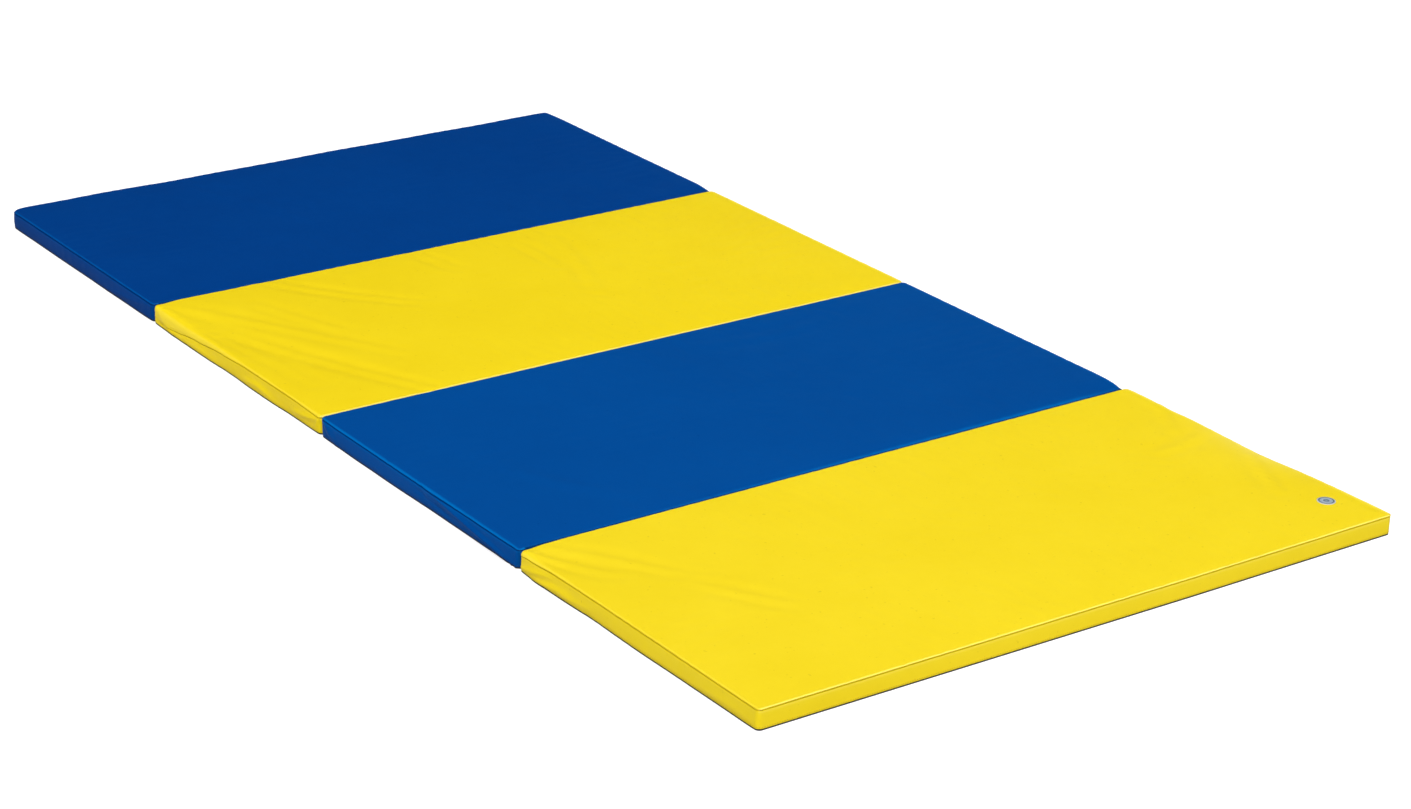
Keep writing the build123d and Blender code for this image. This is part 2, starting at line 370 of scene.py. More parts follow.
def dress_cage(k, cage):
    """Rounds the shell's edges, slips its seam, then lays the cloth's slack and folds into it."""
    low, high = cage["low"], cage["high"]
    points = cage["points"].copy()
    u, w = points[:, 0] - low[0], points[:, 1] - low[1]
    length, width = high[0] - low[0], high[1] - low[1]
    near = np.clip(1.6 - w / 0.03, 0, 1)

    seam = ring_heights[seam_row]
    slipped = near * eased(u, near_edges[k], 2) + (1 - near) * seam
    foot = ring_heights[-1]
    points[:, 2] = np.where(
        points[:, 2] > seam,
        high[2] - (high[2] - points[:, 2]) * (high[2] - slipped) / (high[2] - seam),
        foot + (points[:, 2] - foot) * (slipped - foot) / (seam - foot),
    )
    plan_radius = np.where((k == 1) & (u < 0.08) & (w < 0.08), 24 * MM, 8 * MM)
    fold_edge = (3 + 7 * w / width) * MM if k == 3 else 2.2 * MM
    far_end = np.clip(1 - (length - u) / 0.03, 0, 1)
    edge_radius = 2.4 * MM + far_end * ((3.4 * MM if k == panel_count else fold_edge) - 2.4 * MM)
    edge_radius = near * eased(u, near_edges[k], 1) + (1 - near) * edge_radius
    points = round_box(points, low, high, plan_radius, edge_radius)

    from_edge = np.minimum(np.minimum(u, length - u), np.minimum(w, width - w))
    height_share = np.clip(points[:, 2] / high[2], 0, 1)
    lift = (face_height - high[2]) * height_share
    lift -= 0.8 * MM * np.exp(-from_edge / 0.03) * height_share
    seed = 7.3 * k
    plan = points[:, :2]
    upper = np.clip((points[:, 2] - 0.02) / 0.012, 0, 1)
    for *line, half_width, rise in face_folds.get(k, []):
        lift += rise * MM * fold_line(np.stack([u, w], 1), *line, half_width, trough) * upper
    lift += 0.25 * MM * ripple(plan, 95, seed) * upper
    lift += 0.25 * MM * ripple(plan, 16, seed + 2) * np.exp(-from_edge / 0.012) * upper

    beside = np.clip(1 - w / 0.012, 0, 1) * np.clip((33.5 * MM - points[:, 2]) / (3 * MM), 0, 1)
    out = side_bulge[k] * MM * np.sin(np.pi * np.clip(points[:, 2] / slipped, 0, 1)) ** 0.8
    out *= np.clip(np.minimum(u, length - u) / 0.03, 0, 1)
    for *line, half_width, rise in side_folds.get(k, []):
        out += rise * MM * fold_line(np.stack([u, points[:, 2]], 1), *line, half_width)
    stretched = np.stack([u / 5, points[:, 2]], 1)
    out += 0.45 * MM * ripple(stretched, 14, seed + 3)
    out *= beside

    if k == 1:
        lift -= 1.6 * MM * hump(u, 0, 45) * (1 + ripple(plan, 170, 31.0)) * upper
        lift -= 4.0 * MM * hump(length - u, 0, 30) * hump(width - w, 0, 60) * upper
    if k == 3:
        lift -= 5.0 * MM * hump(length - u, 0, 36) * hump(width - w, 0, 70) * upper
        lift -= 1.0 * MM * hump(length - u, 0, 12) * upper
    if k == 4:
        lift -= 4.5 * MM * hump(u, 300, 105) * np.exp(-(width - w) / 0.028) * height_share
    points[:, 2] += lift
    points[:, 1] -= out
    return points


def cage_faces(cage):
    """Quads of the shell: the face grid, then the rings down the side."""
    face, rings = cage["face"], cage["rings"]
    quads = np.stack([face[:-1, :-1], face[1:, :-1], face[1:, 1:], face[:-1, 1:]], -1).reshape(-1, 4)
    ahead = np.roll(rings, -1, axis=1)
    side = np.stack([rings[:-1], rings[1:], ahead[1:], ahead[:-1]], -1).reshape(-1, 4)
    return np.concatenate([quads, side])


def new_object(name, points, faces, rubbed=None):
    """A mesh object at the origin, made from arrays and smooth shaded; any painted sheen and shade given is
    kept on its points.
    """
    mesh = bpy.data.meshes.new(name)
    mesh.from_pydata(points.tolist(), [], [list(map(int, f)) for f in faces])
    mesh.update()
    mesh.shade_smooth()
    if rubbed is not None:
        mesh.attributes.new("rubbed", "FLOAT", "POINT").data.foreach_set("value", rubbed)
    piece = bpy.data.objects.new(name, mesh)
    scene.collection.objects.link(piece)
    return piece


settle_frames = 10
cover_pressure = 4.0
most_move = 4.0 * MM


def settle(k, cage, points):
    """Blows the cover up gently against springs that stand for the foam, and keeps what it does in reach."""
    shell = new_object(f"settling_{k}", points, cage_faces(cage))
    hold = np.full(len(points), 0.4)
    hold[cage["rings"][seam_row - 1 : seam_row + 2]] = 0.6
    hold[cage["rings"][-3:]] = 1.0
    hold[cage["rings"][zip_rows[0] - 2 : zip_rows[1] + 3][:, cage["far_side"]]] = 1.0
    ends = (cage["column"] == 0) | (cage["column"] == cage["column"].max())
    hold[cage["rings"][:, ends]] = np.maximum(hold[cage["rings"][:, ends]], 0.8)
    group = shell.vertex_groups.new(name="hold")
    for weight in np.unique(hold):
        group.add(np.flatnonzero(hold == weight).tolist(), float(weight), "REPLACE")
    cloth = shell.modifiers.new("cloth", "CLOTH")
    cloth.settings.quality = 4
    cloth.settings.mass = 0.2
    cloth.settings.tension_stiffness = 15
    cloth.settings.compression_stiffness = 15
    cloth.settings.shear_stiffness = 5
    cloth.settings.bending_stiffness = 4
    cloth.settings.vertex_group_mass = "hold"
    cloth.settings.pin_stiffness = 1
    cloth.settings.use_pressure = True
    cloth.settings.uniform_pressure_force = cover_pressure
    cloth.settings.effector_weights.gravity = 0
    cloth.settings.shrink_min = -0.003
    cloth.point_cache.frame_start = 1
    cloth.point_cache.frame_end = settle_frames
    for step in range(1, settle_frames + 1):
        scene.frame_set(step)
    worn = shell.evaluated_get(bpy.context.evaluated_depsgraph_get())
    settled = np.empty(len(points) * 3)
    worn.data.vertices.foreach_get("co", settled)
    scene.frame_set(1)
    bpy.data.objects.remove(shell)
    move = settled.reshape(-1, 3) - points
    reach = np.linalg.norm(move, axis=1, keepdims=True)
    return points + move * np.minimum(1, most_move / np.maximum(reach, 1e-9))


def painted_sheen_of(k, cage):
    """How much painted sheen each point gets: painted highlights on the rolled edges at the folds and sides,
    and a painted reflection on the last panel's face by its far edge.
    """
    low, high = cage["low"], cage["high"]
    sharp = cage["points"]
    u, w = sharp[:, 0] - low[0], sharp[:, 1] - low[1]
    length, width = high[0] - low[0], high[1] - low[1]
    down = np.exp(-(((high[2] - sharp[:, 2]) / (4.5 * MM)) ** 2))
    rolled = (2 + 7 * w / width) * MM if k == 3 else 1.5 * MM
    # Painted highlights on both fold ends, over a wider band at the third panel's end by the last panel,
    # growing toward its far side.
    painted_sheen = np.exp(-((u / (1.2 * MM)) ** 2)) + np.exp(-(((length - u) / rolled) ** 2))
    # Painted highlights along the top edges of the near side, strong on the blue panels, and of the far side.
    painted_sheen = np.maximum(painted_sheen, (0.75 if panel_colours[k][0] == "blue" else 0.15) * hump(w, 0, 2.4))
    painted_sheen = np.maximum(painted_sheen, 0.5 * hump(width - w, 0, 5))
    # Painted reflection of the bright surroundings on the last panel's dipped face by its far side.
    if k == panel_count:
        painted_sheen = np.maximum(painted_sheen, 0.55 * hump(u, 300, 105) * np.exp(-(width - w) / 0.02))
    return np.clip(painted_sheen, 0, 1) * down


out_of_square = 7 * MM
lowest_cover = 0.9 * MM


def trim_to_frame(k, cage, points):
    """Skews the last panel's end, and keeps every cover clear of its neighbours, flat and folded."""
    low, high = cage["low"], cage["high"]
    points[:, 2] = np.clip(points[:, 2], lowest_cover, highest_face)
    if k == panel_count:
        toward_far_side = np.clip((points[:, 1] - low[1]) / 0.8, 0, 1)
        toward_end = points[:, 0] - low[0]
        points[:, 0] += out_of_square * (toward_far_side * toward_end / (high[0] - low[0]))
    if k > 1:
        points[:, 0] = np.maximum(points[:, 0], low[0])
    if k < panel_count:
        points[:, 0] = np.minimum(points[:, 0], high[0])
    return points


def round_slot_ends(cage):
    """Draws in the corners of the zip's slot, so that it ends in half rounds."""
    column = cage["column"]
    top_row, bottom_row = zip_rows
    for end, inward in ((zip_column, 1), (column.max() - zip_column, -1)):
        at = cage["far_side"] & (column == end)
        cage["points"][cage["rings"][[top_row, bottom_row]][:, at], 0] += inward * 4.2 * MM
        cage["points"][cage["rings"][[top_row + 1, bottom_row - 1]][:, at], 0] += inward * 1.0 * MM


cages = {}
for k in range(1, panel_count + 1):
    cages[k] = build_cage(k)
    round_slot_ends(cages[k])
    # Painted sheen on each point of the cover.
    cages[k]["rubbed"] = painted_sheen_of(k, cages[k])
    dressed = dress_cage(k, cages[k])
    dressed = settle(k, cages[k], dressed)
    cages[k]["points"] = trim_to_frame(k, cages[k], dressed)
    ring_points = cages[k]["points"][cages[k]["rings"][seam_row]]
    tangent = np.roll(ring_points, -1, axis=0) - np.roll(ring_points, 1, axis=0)
    outward = np.stack([tangent[:, 1], -tangent[:, 0], np.zeros(len(tangent))], 1)
    cages[k]["outward"] = outward / np.linalg.norm(outward, axis=1, keepdims=True)


# ---- Foam cores -----------------------------------------------------------------------------------------
# Polyethylene foam slabs, cut a little smaller than their covers and slid in through the zips. They are
# closed-cell, pale grey, and rounded over by the cover that squeezes them.

foam_gap = 2.0 * MM
foam_floor = 1.0 * MM


def textured(name, slot_roughness):
    """A node material, its tree, its shader and its object coordinates."""
    material = bpy.data.materials.new(name)
    material.use_nodes = True
    tree = material.node_tree
    shader = tree.nodes["Principled BSDF"]
    shader.inputs["Roughness"].default_value = slot_roughness
    place = tree.nodes.new("ShaderNodeTexCoord").outputs["Object"]
    return material, tree, shader, place


def noise_at(tree, place, scale, detail=2.0, roughness=0.5):
    """A noise factor with features of about 1/scale metres, and finer ones inside them."""
    texture = tree.nodes.new("ShaderNodeTexNoise")
    texture.inputs["Scale"].default_value = scale
    texture.inputs["Detail"].default_value = detail
    texture.inputs["Roughness"].default_value = roughness
    tree.links.new(place, texture.inputs["Vector"])
    return texture.outputs["Fac"]


def bump_on(tree, shader, heights):
    """Chains bumps onto a shader's normal, each as (height socket, distance, strength)."""
    last = None
    for height, distance, strength in heights:
        bump = tree.nodes.new("ShaderNodeBump")
        bump.inputs["Distance"].default_value = distance
        bump.inputs["Strength"].default_value = strength
        tree.links.new(height, bump.inputs["Height"])
        if last:
            tree.links.new(last, bump.inputs["Normal"])
        last = bump.outputs["Normal"]
    tree.links.new(last, shader.inputs["Normal"])


foam_grain, tree, shader, place = textured("foam_grain", 0.85)
cells = tree.nodes.new("ShaderNodeTexVoronoi")
cells.inputs["Scale"].default_value = 700
tree.links.new(place, cells.inputs["Vector"])
tree.links.new(
    colour_node(tree, ((0.5, 0.5, 0.47), (0.62, 0.62, 0.58)), noise_at(tree, place, 30)),
    shader.inputs["Base Color"],
)
bump_on(tree, shader, [(cells.outputs["Distance"], 0.0004, 0.6)])

for k, cage in cages.items():
    rings, points = cage["rings"], cage["points"].copy()
    points[:, 2] -= foam_gap * np.clip(points[:, 2] / highest_face, 0, 1)
    middle = (cage["low"] + cage["high"]) / 2
    inset = 1 - foam_gap / (np.abs(points[:, :2] - middle[:2]).max(0))
    points[:, :2] = middle[:2] + (points[:, :2] - middle[:2]) * inset
    groove_rings = rings[zip_rows[0] - 1 : zip_rows[1] + 2]
    points[groove_rings[:, cage["far_side"]], 1] -= 2 * foam_gap
    base = points[rings[-1]].copy()
    base[:, 2] = foam_floor
    count = len(points)
    under = np.concatenate([points, base, [[middle[0], middle[1], foam_floor]]])
    fan = [(count + i, count + len(base), count + (i + 1) % len(base)) for i in range(len(base))]
    skirt = [
        (rings[-1][i], count + i, count + (i + 1) % len(base), rings[-1][(i + 1) % len(base)])
        for i in range(len(base))
    ]
    foam = new_object(f"foam_slab_{k}", under, [*cage_faces(cage), *skirt, *[f[::-1] for f in fan]])
    foam.data.materials.append(foam_grain)
    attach(foam, f"panel_{k}")
    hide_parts(f"foam_core_{k}")


# ---- Face sheets ----------------------------------------------------------------------------------------
# Vinyl-coated polyester, 0.8 mm, in blue and yellow by turns. Each is cut larger than its panel, turned
# down over the foam's edge, hemmed under and sewn to the side band.

skin = 0.8 * MM
hem_roll = 0.55 * MM


def ranged(tree, value, low, high, start=0.0, end=1.0):
    """Maps a value socket from start..end to low..high."""
    span = tree.nodes.new("ShaderNodeMapRange")
    span.inputs["From Min"].default_value = start
    span.inputs["From Max"].default_value = end
    span.inputs["To Min"].default_value = low
    span.inputs["To Max"].default_value = high
    tree.links.new(value, span.inputs["Value"])
    return span.outputs["Result"]


def tint(tree, under, colour, factor):
    """Lays a colour over another by a factor socket."""
    mix = tree.nodes.new("ShaderNodeMix")
    mix.data_type = "RGBA"
    mix.inputs["B"].default_value = (*colour, 1)
    tree.links.new(under, mix.inputs["A"])
    tree.links.new(factor, mix.inputs["Factor"])
    return mix.outputs["Result"]


def vinyl(name, colours, shine):
    """Coated cloth: leather grain, drifting colour, marks, soft creases, painted sheen on the edges and
    painted shade at the seams.
    """
    material, tree, shader, place = textured(name, 0.42)
    shader.inputs["Specular IOR Level"].default_value = shine
    base = colour_node(tree, colours[:2], noise_at(tree, place, 2.6, 9.0, 0.8))
    marks = ranged(tree, noise_at(tree, place, 150, 1.0), 0, 0.35, 0.72, 0.8)
    rubbed = tree.nodes.new("ShaderNodeAttribute")
    rubbed.attribute_name = "rubbed"
    worn = tint(tree, base, colours[2], marks)
    # Painted sheen: the attribute's positive part pales the colour toward the sheen colour. Painted shade:
    # its negative part darkens it toward the marks colour, for the shade in the seams' grooves.
    painted_sheen = tint(tree, worn, colours[3], rubbed.outputs["Fac"])
    painted_shade = tint(tree, painted_sheen, colours[2], times(tree, rubbed.outputs["Fac"], -1.0))
    tree.links.new(painted_shade, shader.inputs["Base Color"])
    tree.links.new(ranged(tree, noise_at(tree, place, 12, 3.0), 0.36, 0.5), shader.inputs["Roughness"])
    grain = tree.nodes.new("ShaderNodeTexVoronoi")
    grain.feature = "SMOOTH_F1"
    grain.inputs["Scale"].default_value = 900
    grain.inputs["Smoothness"].default_value = 0.5
    tree.links.new(place, grain.inputs["Vector"])
    bump_on(
        tree,
        shader,
        [
            (noise_at(tree, place, 9, 2.0), 0.004, 0.12),
            (noise_at(tree, place, 60, 3.0), 0.0008, 0.1),
            (grain.outputs["Distance"], 0.00015, 0.35),
        ],
    )
    return material


shine_of = {"blue": 0.02, "yellow": 0.1}
vinyl_of = {k: vinyl(f"{roll[0]}_vinyl_{k}", roll[1:], shine_of[roll[0]]) for k, roll in panel_colours.items()}


def thicken(piece, thickness):
    """Gives a sheet its thickness, inwards, as part of its mesh."""
    solid = piece.modifiers.new("thickness", "SOLIDIFY")
    solid.thickness = thickness
    solid.offset = -1
    solid.use_rim = True


def quads_between(upper, lower):
    """Quads between two rings of point numbers, the upper ring first."""
    return np.stack([upper, lower, np.roll(lower, -1), np.roll(upper, -1)], -1)


def used_only(points, faces, rubbed):
    """Drops the points that no face uses."""
    faces = np.array(faces)
    used, renumbered = np.unique(faces, return_inverse=True)
    return points[used], renumbered.reshape(faces.shape), rubbed[used]


for k, cage in cages.items():
    points, rings, outward = cage["points"], cage["rings"], cage["outward"]
    seam = points[rings[seam_row]]
    up = np.array([0, 0, 1.0])
    proud = np.ones((len(seam), 1))
    column = cage["column"]
    ends = (column == 0) & (k > 1) | (column == column.max()) & (k < panel_count)
    proud[ends] = 0
    cage["proud"] = proud
    roll = [
        seam + outward * hem_roll * proud + up * 0.9 * MM,
        seam + outward * hem_roll * 0.9 * proud + up * 0.35 * MM,
        seam - outward * 0.5 * MM,
    ]
    count = len(points)
    size = len(seam)
    rows = [rings[seam_row - 1]] + [count + n * size + np.arange(size) for n in range(len(roll))]
    face_quads = cage_faces(cage)
    top_count = (cage["face"].shape[0] - 1) * (cage["face"].shape[1] - 1)
    kept = face_quads[: top_count + (seam_row - 1) * size]
    hem = np.concatenate([quads_between(a, b) for a, b in zip(rows, rows[1:])])
    # Painted shade on the hem's roll, darker toward its underside.
    rubbed = np.concatenate([cage["rubbed"], *[np.full(size, hem_shade) for hem_shade in (0.0, -0.4, -0.7)]])
    body, quads, rubbed = used_only(np.concatenate([points, *roll]), np.concatenate([kept, hem]), rubbed)
    sheet = new_object(f"face_sheet_{k}", body, quads, rubbed)
    sheet.data.materials.append(vinyl_of[k])
    thicken(sheet, skin)
    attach(sheet, f"panel_{k}")
    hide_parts(f"top_sheet_{k}")


# ---- Side bands -----------------------------------------------------------------------------------------
# A strip of the same vinyl round each panel. Its top edge is folded under the face sheet's hem, its bottom
# edge is turned in over the base sheet, and its far side is cut and hemmed for the zip.

for k, cage in cages.items():
    points, rings, outward, proud = cage["points"], cage["rings"], cage["outward"], cage["proud"]
    seam = points[rings[seam_row]]
    size = len(seam)
    top_hem = [
        seam - outward * 2.2 * MM + up * 1.2 * MM,
        seam - outward * 1.9 * MM - up * 0.2 * MM,
        seam - outward * 1.3 * MM - up * 0.9 * MM,
        seam - outward * 0.5 * MM - up * 1.15 * MM,
    ]
    bottom = points[rings[-1]]
    bottom_hem = [bottom - outward * 0.9 * MM - up * 0.05 * MM, bottom - outward * 6 * MM]
    count = len(points)
    upper = [count + n * size + np.arange(size) for n in range(len(top_hem))]
    lower = [count + (len(top_hem) + n) * size + np.arange(size) for n in range(len(bottom_hem))]
    rows = [*upper, *rings[seam_row + 1 :], *lower]
    column = cage["column"]
    in_slot = cage["far_side"] & (column > zip_column) & (column <= column.max() - zip_column)
    strips = []
    for a, b in zip(rows, rows[1:]):
        strip = quads_between(a, b)
        in_window = any(a is rings[r] or np.array_equal(a, rings[r]) for r in range(*zip_rows))
        strips.append(strip[~in_slot] if in_window else strip)
    all_points = np.concatenate([points, *top_hem, *bottom_hem])
    # Painted shade on both hems, and a lighter painted shade on the ring just under the face sheet's hem.
    rubbed = np.concatenate([cage["rubbed"], np.full(len(all_points) - count, -0.7)])
    rubbed[rings[seam_row + 1]] = -0.4
    body, quads, rubbed = used_only(all_points, np.concatenate(strips), rubbed)
    band = new_object(f"side_band_sheet_{k}", body, quads, rubbed)
    band.data.materials.append(vinyl_of[k])
    thicken(band, skin)
    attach(band, f"panel_{k}")
    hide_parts(f"side_band_{k}")


# ---- Base sheets ----------------------------------------------------------------------------------------
# Charcoal vinyl with an embossed non-slip grain, flat on the floor and sewn to the side band's bottom hem.

base_vinyl, tree, shader, place = textured("base_vinyl", 0.6)
shader.inputs["Specular IOR Level"].default_value = 0.25
studs = tree.nodes.new("ShaderNodeTexVoronoi")
studs.inputs["Scale"].default_value = 220
studs.inputs["Randomness"].default_value = 0.25
tree.links.new(place, studs.inputs["Vector"])
tree.links.new(
    colour_node(tree, ((0.018, 0.018, 0.02), (0.032, 0.032, 0.034)), noise_at(tree, place, 25, 4.0)),
    shader.inputs["Base Color"],
)
bump_on(tree, shader, [(studs.outputs["Distance"], 0.0006, 0.7), (noise_at(tree, place, 900), 0.0001, 0.4)])

base_turn_up = 2.4 * MM
for k, cage in cages.items():
    low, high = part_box(f"base_sheet_{k}")
    foot = cage["points"][cage["rings"][-1]]
    middle = foot.mean(0)
    size = len(foot)
    rows = []
    edge_rows = [(0.4, 1, base_turn_up), (0.1, 1, 0.6 * MM), (0.5, 1, 0)]
    edge_rows += [(0.5, share, 0) for share in (0.98, 0.75, 0.5, 0.25)]
    for inset, share, height in edge_rows:
        ring = foot - cage["outward"] * inset * MM
        ring = middle + (ring - middle) * share
        ring[:, 2] = height
        rows.append(ring)
    body = np.concatenate(rows)
    numbers = [n * size + np.arange(size) for n in range(len(rows))]
    quads = [list(q) for a, b in zip(numbers, numbers[1:]) for q in quads_between(a, b)]
    quads.append(list(numbers[-1][::-1]))
    base = new_object(f"base_panel_{k}", body, quads)
    base.data.materials.append(base_vinyl)
    thicken(base, high[2] - low[2])
    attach(base, f"panel_{k}")
    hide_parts(f"base_sheet_{k}")


# ---- Seams ----------------------------------------------------------------------------------------------
# Lockstitch in bonded thread, about six to the inch: one row through each face sheet's hem, one through the
# bottom hem, and one round each zip's slot. The thread is darker than the vinyl, as its needle holes are.

stitch_pitch = 4.2 * MM
stitch_length = 3.1 * MM
thread_radius = 0.27 * MM


def laying_tree(name, sizes, finish, shape):
    """Geometry nodes that lay copies of a shape along a curve, one to each pitch, in a given material."""
    tree = bpy.data.node_groups.new(name, "GeometryNodeTree")
    tree.interface.new_socket("Geometry", in_out="INPUT", socket_type="NodeSocketGeometry")
    for label in ("Pitch", *sizes):
        tree.interface.new_socket(label, in_out="INPUT", socket_type="NodeSocketFloat")
    tree.interface.new_socket(finish, in_out="INPUT", socket_type="NodeSocketMaterial")
    tree.interface.new_socket("Geometry", in_out="OUTPUT", socket_type="NodeSocketGeometry")
    given = tree.nodes.new("NodeGroupInput")
    result = tree.nodes.new("NodeGroupOutput")
    spaced = tree.nodes.new("GeometryNodeResampleCurve")
    spaced.mode = "LENGTH"
    tree.links.new(given.outputs["Geometry"], spaced.inputs["Curve"])
    tree.links.new(given.outputs["Pitch"], spaced.inputs["Length"])
    lay = tree.nodes.new("GeometryNodeInstanceOnPoints")
    tree.links.new(spaced.outputs["Curve"], lay.inputs["Points"])
    shape(tree, given, lay)
    real = tree.nodes.new("GeometryNodeRealizeInstances")
    tree.links.new(lay.outputs["Instances"], real.inputs["Geometry"])
    coat = tree.nodes.new("GeometryNodeSetMaterial")
    tree.links.new(real.outputs["Geometry"], coat.inputs["Geometry"])
    tree.links.new(given.outputs[finish], coat.inputs["Material"])
    tree.links.new(coat.outputs["Geometry"], result.inputs["Geometry"])
    return tree


def stitch(tree, given, lay):
    """A long bead of thread, turned along the curve."""
    bead = tree.nodes.new("GeometryNodeMeshUVSphere")
    bead.inputs["Segments"].default_value = 6
    bead.inputs["Rings"].default_value = 4
    bead.inputs["Radius"].default_value = 1.0
    size = tree.nodes.new("ShaderNodeCombineXYZ")
    tree.links.new(given.outputs["Thread radius"], size.inputs["X"])
    tree.links.new(given.outputs["Thread radius"], size.inputs["Y"])
    tree.links.new(times(tree, given.outputs["Length"], 0.5), size.inputs["Z"])
    heading = tree.nodes.new("GeometryNodeInputTangent")
    turn = tree.nodes.new("FunctionNodeAlignRotationToVector")
    turn.axis = "Z"
    tree.links.new(heading.outputs["Tangent"], turn.inputs["Vector"])
    tree.links.new(bead.outputs["Mesh"], lay.inputs["Instance"])
    tree.links.new(turn.outputs["Rotation"], lay.inputs["Rotation"])
    tree.links.new(size.outputs["Vector"], lay.inputs["Scale"])


stitches = laying_tree("stitches", ("Length", "Thread radius"), "Thread", stitch)


def thread(name, colour):
    """Twisted bonded thread."""
    material, tree, shader, place = textured(name, 0.5)
    twist = tree.nodes.new("ShaderNodeTexWave")
    twist.inputs["Scale"].default_value = 900
    twist.bands_direction = "DIAGONAL"
    tree.links.new(place, twist.inputs["Vector"])
    lighter = tuple(1.5 * c + 0.004 for c in colour)
    tree.links.new(colour_node(tree, (colour, lighter), twist.outputs["Fac"]), shader.inputs["Base Color"])
    bump_on(tree, shader, [(twist.outputs["Fac"], 0.0001, 0.5)])
    return material


thread_of = {
    "blue": thread("blue_thread", (0.001, 0.012, 0.06)),
    "yellow": thread("yellow_thread", (0.26, 0.18, 0.008)),
}


def geometry_result(name, start, tree, inputs):
    """Runs a node tree on a starting object and keeps its result as a plain mesh object."""
    modifier = start.modifiers.new("nodes", "NODES")
    modifier.node_group = tree
    sockets = {s.name: s.identifier for s in tree.interface.items_tree if s.in_out == "INPUT"}
    for label, value in inputs.items():
        modifier[sockets[label]] = value
    worn = start.evaluated_get(bpy.context.evaluated_depsgraph_get())
    mesh = bpy.data.meshes.new_from_object(worn)
    mesh.name = name
    start.modifiers.remove(modifier)
    bpy.data.objects.remove(start)
    piece = bpy.data.objects.new(name, mesh)
    scene.collection.objects.link(piece)
    return piece


def sew(name, lines, colour):
    """Stitches along one or more rows of points, each (points, closed)."""
    curve = bpy.data.curves.new(name, "CURVE")
    curve.dimensions = "3D"
    for points, closed in lines:
        spline = curve.splines.new("POLY")
        spline.points.add(len(points) - 1)
        for knot, p in zip(spline.points, points):
            knot.co = (*p, 1)
        spline.use_cyclic_u = closed
    start = bpy.data.objects.new(name, curve)
    scene.collection.objects.link(start)
    sizes = {"Pitch": stitch_pitch, "Length": stitch_length, "Thread radius": thread_radius}
    return geometry_result(name, start, stitches, {**sizes, "Thread": thread_of[colour]})


slot_stitch_margin = 2.4 * MM
for k, cage in cages.items():
    points, rings, outward = cage["points"], cage["rings"], cage["outward"]
    upper = (points[rings[seam_row - 1]] + points[rings[seam_row]]) / 2 + outward * 0.2 * MM
    lower = points[rings[-3]] + outward * 0.1 * MM
    column = cage["column"]
    slot_ends = cage["far_side"] & ((column == zip_column) | (column == column.max() - zip_column))
    slot_x = sorted(points[rings[zip_rows[0]][slot_ends]][:, 0])
    wall = cage["high"][1]
    left, right = slot_x[0] - slot_stitch_margin, slot_x[1] + slot_stitch_margin
    top = ring_heights[zip_rows[0]] + slot_stitch_margin
    bottom = ring_heights[zip_rows[1]] - slot_stitch_margin
    slot_row = np.array([(left, wall, bottom), (right, wall, bottom), (right, wall, top), (left, wall, top)])
    sewing = sew(f"stitches_{k}", [(upper, True), (lower, True), (slot_row, True)], panel_colours[k][0])
    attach(sewing, f"panel_{k}")


# ---- Hinge strips ---------------------------------------------------------------------------------------
# Doubled vinyl strips in the folds. The first and last are joined at the face and the middle one at the
# floor, so the mat folds up zigzag. Each leg is sewn to a panel's end.

strip_skin = 0.6 * MM
strip_colours = ((0, 0.03, 0.14), (0, 0.04, 0.18), (0, 0.02, 0.09), (0, 0.05, 0.2))
strip_vinyl = vinyl("strip_vinyl", strip_colours, shine_of["blue"])
strip_steps = 60
bend_steps = 8
for joint in [j for j in frame["joints"] if j["name"].startswith("fold_")]:
    number = joint["name"].split("_")[1]
    low, high = corners(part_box(f"hinge_strip_{number}"))
    at_top = joint["pos_m"][2] > high[2] / 2 and joint["axis"][1] < 0
    middle = (low[0] + high[0]) / 2
    reach = (high[0] - low[0]) / 2
    crest, foot = (high[2], low[2]) if at_top else (low[2], high[2])
    toward = np.sign(foot - crest)
    leg = [crest + toward * (1.2 * MM + s * (abs(foot - crest) - 1.2 * MM)) for s in np.linspace(1, 0, 7)]
    bend = [
        (reach * math.sin(a), crest + toward * 1.2 * MM * (1 - math.cos(a)))
        for a in np.linspace(-math.pi / 2, math.pi / 2, bend_steps + 1)
    ]
    outline = [(-reach, z) for z in leg[:-1]] + bend + [(reach, z) for z in leg[-2::-1]]
    ys = np.linspace(low[1], high[1], strip_steps + 1)
    body = np.array([(middle + x, y, z) for x, z in outline for y in ys])
    grid = np.arange(len(outline) * len(ys)).reshape(len(outline), len(ys))
    quads = np.stack([grid[:-1, :-1], grid[1:, :-1], grid[1:, 1:], grid[:-1, 1:]], -1).reshape(-1, 4)
    if not at_top:
        quads = quads[:, ::-1]
    strip = new_object(f"fold_strip_{number}", body, quads)
    strip.data.materials.append(strip_vinyl)
    thicken(strip, strip_skin)
    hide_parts(f"hinge_strip_{number}")
    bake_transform(strip)


# ---- Zips -----------------------------------------------------------------------------------------------
# A nylon coil zip in the far side of each cover: woven tape behind the slot, two interlocked coils sewn
# along its middle, and a die-cast slider with a flat pull.

